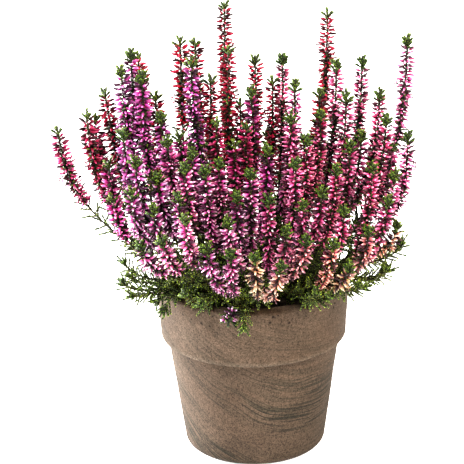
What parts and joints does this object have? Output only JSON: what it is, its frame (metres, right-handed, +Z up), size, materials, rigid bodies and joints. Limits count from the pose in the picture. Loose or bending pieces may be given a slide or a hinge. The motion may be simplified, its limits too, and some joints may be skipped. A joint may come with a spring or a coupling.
{
  "type": "potted heather",
  "caption": "Brown clay flower pot with a deep overhanging collar, filled with soil, with mixed violet, crimson and rose bud heather standing in it.",
  "frame": {"origin": "middle of the pot's flat foot, on the surface it stands on", "axes": "+Z up along the pot's axis, -Y towards the viewer's side, +X to the viewer's right"},
  "size_m": [0.2731, 0.2228, 0.352],
  "materials": {
    "pot": "unglazed marbled clay, matt and slightly grainy",
    "soil": "dark crumbly potting soil",
    "violet": "violet buds with paler ends on thin green-brown stems",
    "crimson": "crimson buds on thin green-brown stems",
    "rose": "rose-pink buds on thin green-brown stems",
    "leafy": "small scale leaves, olive to yellow-green"
  },
  "bodies": {
    "root": {"pot": "pot", "soil": "soil", "crimson_spray_01": "crimson", "crimson_spray_02": "crimson", "crimson_spray_03": "crimson", "crimson_spray_04": "crimson", "crimson_spray_05": "crimson", "crimson_spray_06": "crimson", "crimson_spray_07": "crimson", "crimson_spray_08": "crimson", "crimson_spray_09": "crimson", "crimson_spray_10": "crimson", "crimson_spray_11": "crimson", "crimson_spray_12": "crimson", "crimson_spray_13": "crimson", "crimson_spray_14": "crimson", "leafy_shoot_01": "leafy", "leafy_shoot_02": "leafy", "leafy_shoot_03": "leafy", "leafy_shoot_04": "leafy", "leafy_shoot_05": "leafy", "leafy_shoot_06": "leafy", "leafy_shoot_07": "leafy", "leafy_shoot_08": "leafy", "leafy_shoot_09": "leafy", "leafy_shoot_10": "leafy", "leafy_shoot_11": "leafy", "leafy_shoot_12": "leafy", "leafy_shoot_13": "leafy", "rose_spray_01": "rose", "rose_spray_02": "rose", "rose_spray_03": "rose", "rose_spray_04": "rose", "rose_spray_05": "rose", "rose_spray_06": "rose", "rose_spray_07": "rose", "rose_spray_08": "rose", "rose_spray_09": "rose", "rose_spray_10": "rose", "rose_spray_11": "rose", "rose_spray_12": "rose", "rose_spray_13": "rose", "rose_spray_14": "rose", "violet_spray_01": "violet", "violet_spray_02": "violet", "violet_spray_03": "violet", "violet_spray_04": "violet", "violet_spray_05": "violet", "violet_spray_06": "violet", "violet_spray_07": "violet", "violet_spray_08": "violet", "violet_spray_09": "violet", "violet_spray_10": "violet", "violet_spray_11": "violet", "violet_spray_12": "violet", "violet_spray_13": "violet"}
  },
  "joints": []
}
